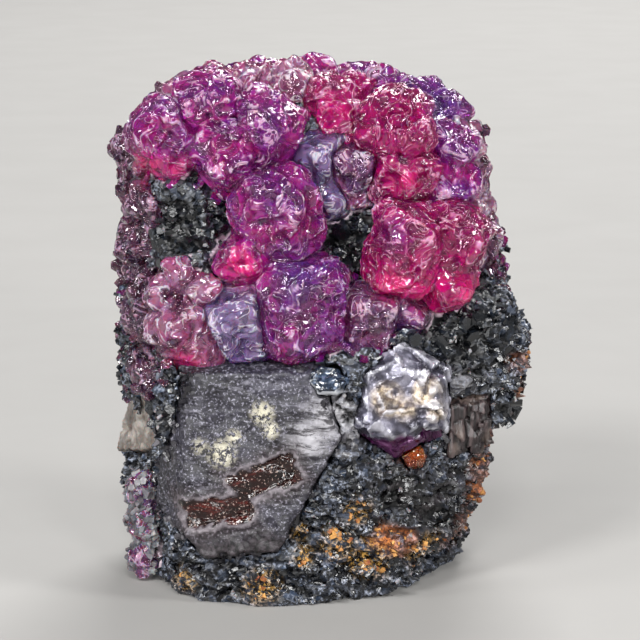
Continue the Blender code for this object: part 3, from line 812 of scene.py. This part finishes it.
def striated_mica(name):
    """Altered brown mica seen edge on: fine upright striations, pearly, with pale clay between the plates."""
    material, tree, where = new_material(name)
    upright = add(tree, "Mapping", {"Scale": (1.0, 1.0, 0.10)}, {"Vector": where})
    # The plates are 0.2 mm thick.
    lines = add(tree, "TexNoise", {"Scale": 3000.0, "Detail": 5.0, "Roughness": 0.6}, {"Vector": upright})
    broad = add(tree, "TexNoise", {"Scale": 500.0, "Detail": 4.0}, {"Vector": where})
    base = steps(tree, lines, [(0.36, "0A0708"), (0.5, "241A1C"), (0.64, "5A4C4C")])
    base = mixed(tree, rising(tree, broad, 0.52, 0.7, 0.7), base, "7E6E66")
    bump = add(tree, "Bump", {"Strength": 0.8, "Distance": 0.00014}, {"Height": lines})
    return finished(material, {"IOR": 1.6, "Roughness": 0.32}, {"Base Color": base, "Normal": bump})


def cream_feldspar(name, low, middle, high):
    """Broken feldspar: cream, a little light in its thin edges, with fine cleavage steps."""
    material, tree, where = new_material(name)
    broad = add(tree, "TexNoise", {"Scale": 500.0, "Detail": 5.0, "Roughness": 0.7}, {"Vector": where})
    cleavage = add(tree, "TexVoronoi", {"Scale": 1500.0}, {"Vector": where})
    base = steps(tree, broad, [(0.34, low), (0.5, middle), (0.66, high)])
    bump = add(tree, "Bump", {"Strength": 0.6, "Distance": 0.00015}, {"Height": cleavage})
    values = {"IOR": 1.53, "Roughness": 0.38, "Subsurface Weight": 0.25, "Subsurface Scale": 0.0008}
    return finished(material, values, {"Base Color": base, "Normal": bump})


def clay_crumbs(name, low, high):
    """Weathered iron clay, dull and earthy."""
    material, tree, where = new_material(name)
    fine = add(tree, "TexNoise", {"Scale": 1400.0, "Detail": 4.0}, {"Vector": where})
    base = steps(tree, fine, [(0.35, low), (0.65, high)])
    bump = add(tree, "Bump", {"Strength": 0.5, "Distance": 0.00006}, {"Height": fine})
    return finished(material, {"IOR": 1.55, "Roughness": 0.7}, {"Base Color": base, "Normal": bump})


def painted_floor(name, colour):
    """Matt studio floor with a faint unevenness."""
    material, tree, where = new_material(name)
    cloud = add(tree, "TexNoise", {"Scale": 90.0, "Detail": 3.0}, {"Vector": where})
    base = mixed(tree, rising(tree, cloud, 0.3, 0.7, 0.02), tuple(colour), "FFFFFF")
    return finished(material, {"Roughness": 0.85}, {"Base Color": base})


# Shapes


def gem_material(gem):
    """One material for each kind of crystal, made when it is first needed."""
    name = "etched_corundum_" + gem.kind
    return bpy.data.materials.get(name) or etched_corundum(name, gem)


def tint(piece):
    """Marks where a crystal is painted glowing red-pink, as if light left it there, and where it is violet."""
    points = points_of(piece)[0] / MM
    paint(piece, "painted_glow", spots(points, PAINTED_GLOW))
    paint(piece, "violet", spots(points, VIOLET))


def solids_tree(nodes):
    """A search tree over the surfaces of some solids."""
    bm = bmesh.new()
    for node in nodes:
        bm.from_mesh(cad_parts[node].data)
    tree = BVHTree.FromBMesh(bm)
    bm.free()
    return tree


def gaps(tree, places):
    """How far it is from each place to the nearest surface of a tree, in mm."""
    return np.array([tree.find_nearest(Vector(row))[3] for row in places]) / MM


def etched_crystals(node, gem, seed):
    """Gives one group of crystals crests, hollows and small crystals that stand out of its faces."""
    piece, _ = fine_copy(node, node + "_etched", settings().crystal_mesh)
    soften(piece)
    places, _ = points_of(piece)
    points = places / MM
    relief = 1.6 * (knobs(points, 3.1, seed + 20) - 0.5) + 0.5 * waves(points / 2.6, seed + 30)
    relief += 0.7 * (knobs(points, 1.1, seed + 70) - 0.5) + 0.7 * crests(points / 1.4, seed + 50)
    crust = 1.4 * (knobs(points, 1.4, seed + 90) - 0.55)
    heights = settings().crystal_swell / MM + settings().etching / MM * relief + gem.knobs * crust
    room = ROOM_SHARE * gaps(solids_tree([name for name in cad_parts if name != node]), places)
    heights = np.minimum(heights, np.minimum(room, TALLEST_CREST))
    move_out(piece, heights * np.clip(points[:, 2] / BASE_FADE, 0, 1) * MM)
    tint(piece)
    shade_relief(piece, 0.14)
    place(piece, gem_material(gem), node)


def scatter(pieces, count, seed, wanted):
    """Random places on some pieces, with their normals: wanted says if a place may hold a grain."""
    areas, centres, normals = [], [], []
    for piece in pieces:
        faces = piece.data.polygons
        for kind, width, store in (("area", 1, areas), ("center", 3, centres), ("normal", 3, normals)):
            values = np.empty(len(faces) * width, np.float32)
            faces.foreach_get(kind, values)
            store.append(values.reshape(-1, width))
    areas, centres, normals = (np.concatenate(store).astype(float) for store in (areas, centres, normals))
    chance = np.random.default_rng(seed)
    found = []
    for number in chance.choice(len(areas), size=count * TRIES, p=areas[:, 0] / areas.sum()):
        centre, normal = Vector(centres[number]), Vector(normals[number])
        if wanted(centre, normal):
            found.append((centre, normal))
            if len(found) == count:
                break
    return found


def grains_mesh(name, found):
    """Many small faceted grains in one mesh, each sunk in the surface it grew on."""
    grain = GRAINS[name]
    chance = random.Random(grain.seed + 1)
    whole, batch = bmesh.new(), bmesh.new()
    store = bpy.data.meshes.new(name + "_batch")
    for number, (centre, normal) in enumerate(found, start=1):
        size = chance.uniform(*grain.sizes) * MM
        axis = Vector([chance.gauss(0, 1) for _ in range(3)]).normalized()
        axis -= LAYERS * (axis.dot(LAYERS) * grain.layered)
        spin = Matrix.Rotation(chance.uniform(0, math.tau), 4, "Z")
        turn = axis.to_track_quat("Z", "Y").to_matrix().to_4x4() @ spin
        flat = Matrix.Diagonal((1.0, chance.uniform(0.6, 1.0), 1.0, 1.0))
        bmesh.ops.create_cone(
            batch,
            cap_ends=True,
            segments=grain.sides,
            radius1=size / 2,
            radius2=size / 2 * chance.uniform(0.45, 0.9),
            depth=size * chance.uniform(*grain.stretch),
            matrix=Matrix.Translation(centre + normal * size * (0.5 - grain.sink)) @ turn @ flat,
        )
        # Joined in batches, because each new cone takes longer in a mesh that has many.
        if number % BATCH == 0 or number == len(found):
            batch.to_mesh(store)
            whole.from_mesh(store)
            batch.clear()
    batch.free()
    bpy.data.meshes.remove(store)
    return add_piece(name, whole)


def grow(name, beds, material, wanted, count=None):
    """Grows one group of grains on some pieces, at places that are wanted."""
    grain = GRAINS[name]
    piece = grains_mesh(name, scatter(beds, grain.count if count is None else count, grain.seed, wanted))
    place(piece, material)
    return piece


def strength(point, *zones):
    """How much there is at a point of the strongest of some zones."""
    return max(spots(np.array([point]) / MM, patches)[0] for patches in zones)


class SPECIMEN_OT_crystals(bpy.types.Operator):
    """Etches every group of corundum crystals"""

    bl_idname = "specimen.crystals"
    bl_label = "Corundum crystals"

    def execute(self, context):
        for seed, (node, gem) in enumerate(GEMS.items(), start=1):
            etched_crystals(node, gem, seed)
        return {"FINISHED"}


class SPECIMEN_OT_rock(bpy.types.Operator):
    """Breaks the surface of the rock into grains and layers"""

    bl_idname = "specimen.rock"
    bl_label = "Amphibolite"

    def execute(self, context):
        choice = settings()
        piece = copy_of("rock_matrix", "rock_broken")
        remesh(piece, choice.rock_mesh)
        places, normals = points_of(piece)
        gap = gaps(solids_tree(ON_ROCK), places)
        gems = solids_tree(GEMS)
        faces_crystal = np.zeros(len(places))
        for number in np.flatnonzero(gap < 0.6):
            hit = gems.ray_cast(Vector(places[number]), Vector(normals[number]), 0.9 * MM)
            faces_crystal[number] = 1.0 if hit[0] is not None else 0.0
        points = places / MM
        grain = choice.rock_grain / MM
        across = points @ np.array(LAYERS)
        layered = points + np.outer(across * 1.3, np.array(LAYERS))
        heights = 0.85 * shards(layered, grain * 2.6, 3) + 0.7 * shards(layered, grain * 1.1, 4)
        heights += 0.6 * shards(points, grain * 0.5, 5)
        heights += ((across / 1.3 + waves(points / 3.0, 6)) % 1.0 - 0.5) * 0.34
        # The rock keeps still where a crystal sits on it, and at its flat base.
        still = np.clip((0.55 - gap) / 0.25, 0, 1)
        above_base = np.clip(points[:, 2] / BASE_FADE, 0, 1)
        move_out(piece, (heights * (1 - still) + 0.05) * above_base * MM)
        # Marks the rock under the crystals, which is painted pale pink to send light back through them.
        paint(piece, "socket", faces_crystal)
        shade_relief(piece, 0.16)
        for name, patches in ROCK_PATCHES.items():
            paint(piece, name, spots(points, patches))
        material = broken_amphibolite("broken_amphibolite", tuple(choice.rock_dark), tuple(choice.rock_light))
        place(piece, material, "rock_matrix")
        return {"FINISHED"}


class SPECIMEN_OT_grains(bpy.types.Operator):
    """Scatters the grains that stand out of the rock"""

    bl_idname = "specimen.grains"
    bl_label = "Grains on the rock"

    def execute(self, context):
        rock = [bpy.data.objects["rock_broken"]]
        chips = [bpy.data.objects[node + "_etched"] for node in GEMS if node.startswith("sapphire_chip")]
        tree = solids_tree(ON_ROCK)

        def in_rock(centre, gap=0.35):
            return centre.z > 0.6 * MM and tree.find_nearest(centre)[3] > gap * MM

        def plain(centre, normal):
            return in_rock(centre) and strength(centre, RUST, SCHIST, HORNBLENDE, BROWN) < 0.35

        def pocket(centre, normal):
            return in_rock(centre, SEAM_WIDTH) and strength(centre, HORNBLENDE) > 0.25

        def seam(centre, normal):
            open_air = tree.ray_cast(centre + normal * 0.05 * MM, normal, 4 * MM)[0] is None
            return open_air and centre.z > 0.8 * MM and tree.find_nearest(centre)[3] < SEAM_WIDTH * MM

        def weathered(centre, normal):
            return in_rock(centre) and strength(centre, RUST, OCHRE) > 0.3

        material = split_hornblende("split_hornblende", "06070A", "14161C", "5C6476")
        grow("hornblende_grains", rock, material, plain, settings().hornblende_count)
        material = split_hornblende("black_hornblende", "050608", "0E1116", "2A323E")
        grow("hornblende_blades", rock, material, pocket)
        # Grains that grew against the crystals close the seams round them.
        material = split_hornblende("dusty_hornblende", "111014", "2C2A30", "77747A")
        grow("seam_grains", rock, material, seam)
        grow("iron_clay_grains", rock, clay_crumbs("iron_clay", "7A3A18", "D9A25A"), weathered)
        material = cream_feldspar("grey_feldspar", "38373C", "6C6A70", "A5A2A0")
        grow("chip_crumbs", chips, material, lambda centre, normal: centre.z > 0.8 * MM)
        material = cream_feldspar("feldspar_in_rock", "5E5C62", "8E8B90", "BDB8B4")
        grow("feldspar_grains", rock, material, lambda centre, normal: in_rock(centre))
        return {"FINISHED"}


class SPECIMEN_OT_granules(bpy.types.Operator):
    """Scatters small corundum crystals over the flanks and between the large ones"""

    bl_idname = "specimen.granules"
    bl_label = "Small corundum crystals"

    def execute(self, context):
        rock = bpy.data.objects["rock_broken"]
        crusts = ("druse_left", "druse_right", "sapphire_pale_crown", "sapphire_lower_left")
        beds = [rock] + [bpy.data.objects[node + "_etched"] for node in crusts]
        tree = solids_tree(ON_ROCK)

        def flank(centre, normal):
            on_bed = normal.y < 0.7 and centre.z > 12 * MM
            side = centre.x < -10.2 * MM or (centre.x > 8.8 * MM and centre.z > 21 * MM)
            outside = tree.ray_cast(centre + normal * 0.5 * MM, normal, 3 * MM)[0] is None
            return on_bed and side and outside and strength(centre, HORNBLENDE) < 0.3

        def between(centre, normal):
            near = 0.15 * MM < tree.find_nearest(centre)[3] < 1.6 * MM
            return centre.z > 17.8 * MM and near and strength(centre, HORNBLENDE) < 0.45

        gem = DUSKY_PINK
        tint(grow("pale_pink_granules", beds, gem_material(gem), flank, settings().granule_count))
        name = "magenta_granules"
        found = scatter([rock], 2 * GRAINS[name].count, GRAINS[name].seed, between)
        half = len(found) // 2
        for name, part, gem in ((name, found[:half], MAGENTA), ("plum_granules", found[half:], PLUM)):
            piece = grains_mesh(name, part)
            tint(piece)
            place(piece, gem_material(gem))
        return {"FINISHED"}


class SPECIMEN_OT_garnet(bpy.types.Operator):
    """Finishes the garnet face with its dust and its chipped windows"""

    bl_idname = "specimen.garnet"
    bl_label = "Garnet"

    def execute(self, context):
        piece, points = fine_copy("garnet_block", "garnet_face", 0.13 * MM)
        front = np.clip(1.6 + (points - GARNET_POINT) @ GARNET_NORMAL, 0, 1)
        # How far each place is from the nearest window, in mm: below 0 inside it.
        edge = np.full(len(points), 9.0)
        for x, z, width, height, climb in GARNET_WINDOWS:
            turn = math.radians(climb)
            across = (points[:, 0] - x) * math.cos(turn) + (points[:, 2] - z) * math.sin(turn)
            up = (points[:, 2] - z) * math.cos(turn) - (points[:, 0] - x) * math.sin(turn)
            taper = 0.35 * np.clip(across / width, -1, 1) * np.sign(up)
            edge = np.minimum(edge, np.maximum(np.abs(across) - width / 2, np.abs(up) - height / 2 + taper))
        edge += 0.35 * waves(points / 0.9, 7) + 0.15 * waves(points / 0.35, 8)
        window = np.clip((0.12 - edge) / 0.12, 0, 1) * front
        relief = 0.14 * waves(points / 3.0, 1) + 0.20 * shards(points, 2.0, 2) + 0.24 * shards(points, 0.45, 3)
        across = points @ np.array((0.35, 0.1, 1.0))
        relief += ((across / 1.9 + waves(points / 2.0, 4)) % 1.0 - 0.5) * 0.16
        crust = 0.25 * crests(points / 1.1, 5) * np.exp(-np.square((edge - 0.2) / 0.25))
        move_out(piece, np.minimum(0.1 + relief + crust, 0.26) * MM)
        paint(piece, "window", window)
        paint(piece, "stain", 0.75 * np.clip(1 - edge / 1.3, 0, 1) * (1 - window))
        paint(piece, "ridge", 0.6 * np.exp(-np.square((edge - 0.22) / 0.12)) * front)
        # The lowest part of the garnet is darker towards the bottom.
        paint(piece, "darker_below", np.clip((6.2 - points[:, 2] + 0.8 * waves(points / 1.5, 9)) / 1.5, 0, 1))
        paint(piece, "schist", spots(points, SCHIST))
        paint(piece, "cream", spots(points, GARNET_DUST))
        place(piece, dusty_garnet("dusty_garnet"), "garnet_block")

        # Dusty crumbs of the rock stick to the garnet along its border.
        rock = solids_tree(["rock_matrix"])

        def border(centre, normal):
            return normal.y < -0.5 and rock.find_nearest(centre)[3] < 0.9 * MM

        grow("garnet_border_grains", [piece], bpy.data.materials["dusty_hornblende"], border)
        return {"FINISHED"}


class SPECIMEN_OT_silvered(bpy.types.Operator):
    """Finishes the silvery crystal and the small bright-rimmed plate beside it"""

    bl_idname = "specimen.silvered"
    bl_label = "Silvery crystals"

    def execute(self, context):
        piece, points = fine_copy("sapphire_silvered", "silvery_crystal", 0.12 * MM)
        bosses = np.clip(spots(points, BOSSES) * (1.0 + 1.6 * waves(points / 0.8, 9)), 0, 1)
        low = np.clip((12.9 - points[:, 2] + 0.5 * waves(points / 0.9, 3)) / 0.25, 0, 1)
        terraces = (waves(points / 2.6, 1) * 2.5) % 1.0
        relief = 0.10 * terraces + 0.38 * shards(points, 2.6, 2) + 0.10 * crests(points / 1.4, 4) + 0.25 * bosses
        move_out(piece, (0.05 + relief) * MM)
        shade_relief(piece, 0.12)
        paint(piece, "cream", bosses)
        paint(piece, "rim", low)
        place(piece, silvery_parting("silvery_parting"), "sapphire_silvered")

        plate, points = fine_copy("hexagonal_plate", "rimmed_plate", 0.07 * MM)
        _, normals = points_of(plate)
        side = np.clip((0.55 - np.abs(normals @ PLATE_AXIS)) / 0.2, 0, 1)
        # Painted highlight: the rim is painted bright on the sides that face left and down.
        lit = np.clip(0.35 - normals[:, 0] - normals[:, 2] + waves(points / 0.7, 2), 0, 1)
        paint(plate, "rim", side * lit)
        move_out(plate, (0.02 + 0.22 * waves(points / 1.1, 5) + 0.5 * shards(points, 0.9, 6)) * MM)
        # It grew wider than high.
        middle = Vector(points.mean(axis=0)) * MM
        wider = Matrix.Diagonal((1.22, 1.0, 0.84, 1.0))
        plate.data.transform(Matrix.Translation(middle) @ wider @ Matrix.Translation(-middle))
        place(plate, bright_rimmed_plate("bright_rimmed_plate"), "hexagonal_plate")
        return {"FINISHED"}


class SPECIMEN_OT_accessories(bpy.types.Operator):
    """Finishes the mica, the feldspar and the small orange garnet"""

    bl_idname = "specimen.accessories"
    bl_label = "Mica, feldspar and small garnet"

    def execute(self, context):
        mica, points = fine_copy("mica_book", "mica_striated", 0.1 * MM)
        upright = points * np.array((1, 1, 0.12))
        move_out(mica, (0.08 + 0.16 * waves(upright / 0.4, 1) + 0.8 * shards(points, 1.2, 2)) * MM)
        place(mica, striated_mica("striated_mica"), "mica_book")

        slab, points = fine_copy("feldspar_slab", "feldspar_broken", 0.14 * MM)
        move_out(slab, (0.06 + 0.5 * shards(points, 1.4, 1) + 0.4 * shards(points, 0.6, 2)) * MM)
        place(slab, cream_feldspar("cream_feldspar", "3E3835", "746C66", "AFA9A2"), "feldspar_slab")

        small, points = fine_copy("garnet_orange", "orange_garnet", 0.08 * MM)
        move_out(small, (0.05 + 0.12 * waves(points / 0.7, 1)) * MM)
        place(small, etched_corundum("clear_orange_garnet", AMBER), "garnet_orange")
        return {"FINISHED"}


class SPECIMEN_OT_stage(bpy.types.Operator):
    """Lays the floor, hangs the soft lights and sets the camera"""

    bl_idname = "specimen.stage"
    bl_label = "Stage"

    def execute(self, context):
        choice = settings()
        scene = context.scene
        bm = bmesh.new()
        bmesh.ops.create_grid(bm, x_segments=1, y_segments=1, size=3.0)
        floor = add_piece("floor", bm)
        floor.data.materials.append(painted_floor("painted_floor", choice.floor_colour))

        for name, (direction, size, power) in LIGHTS.items():
            light = bpy.data.lights.new(name, "AREA")
            light.size = size
            light.energy = power * choice.light_strength
            lamp = bpy.data.objects.new(name, light)
            scene.collection.objects.link(lamp)
            away = Vector(direction).normalized()
            lamp.location = AIM + away * LIGHT_DISTANCE
            lamp.rotation_euler = (-away).to_track_quat("-Z", "Y").to_euler()

        world = bpy.data.worlds.new("studio")
        world.use_nodes = True
        background = world.node_tree.nodes["Background"].inputs
        background["Color"].default_value = (*linear("E6EAF0"), 1.0)
        background["Strength"].default_value = 0.15
        scene.world = world
        scene.view_settings.view_transform = "Standard"

        camera = bpy.data.cameras.new("camera")
        camera.lens = 150
        camera.sensor_width = 36
        camera.clip_start = 0.01
        camera.clip_end = 20
        eye = bpy.data.objects.new("camera", camera)
        scene.collection.objects.link(eye)
        back = Vector((0, -math.cos(CAMERA_LIFT), math.sin(CAMERA_LIFT)))
        eye.location = AIM + back * CAMERA_DISTANCE
        eye.rotation_euler = (-back).to_track_quat("-Z", "Y").to_euler()
        scene.camera = eye
        return {"FINISHED"}


class SPECIMEN_PT_panel(bpy.types.Panel):
    bl_label = "Specimen"
    bl_idname = "SPECIMEN_PT_panel"
    bl_space_type = "VIEW_3D"
    bl_region_type = "UI"
    bl_category = "Specimen"

    def draw(self, context):
        for step in STEPS:
            self.layout.operator(step.bl_idname)
        for name in SpecimenSettings.__annotations__:
            self.layout.prop(context.scene.specimen, name)


STEPS = (
    SPECIMEN_OT_crystals,
    SPECIMEN_OT_rock,
    SPECIMEN_OT_grains,
    SPECIMEN_OT_granules,
    SPECIMEN_OT_garnet,
    SPECIMEN_OT_silvered,
    SPECIMEN_OT_accessories,
    SPECIMEN_OT_stage,
)
CLASSES = (SpecimenSettings, *STEPS, SPECIMEN_PT_panel)


def register():
    for kind in CLASSES:
        bpy.utils.register_class(kind)
    bpy.types.Scene.specimen = PointerProperty(type=SpecimenSettings)


def unregister():
    del bpy.types.Scene.specimen
    for kind in reversed(CLASSES):
        bpy.utils.unregister_class(kind)


def main():
    register()
    bpy.ops.specimen.crystals()
    bpy.ops.specimen.rock()
    bpy.ops.specimen.grains()
    bpy.ops.specimen.granules()
    bpy.ops.specimen.garnet()
    bpy.ops.specimen.silvered()
    bpy.ops.specimen.accessories()
    bpy.ops.specimen.stage()


if __name__ == "__main__":
    main()
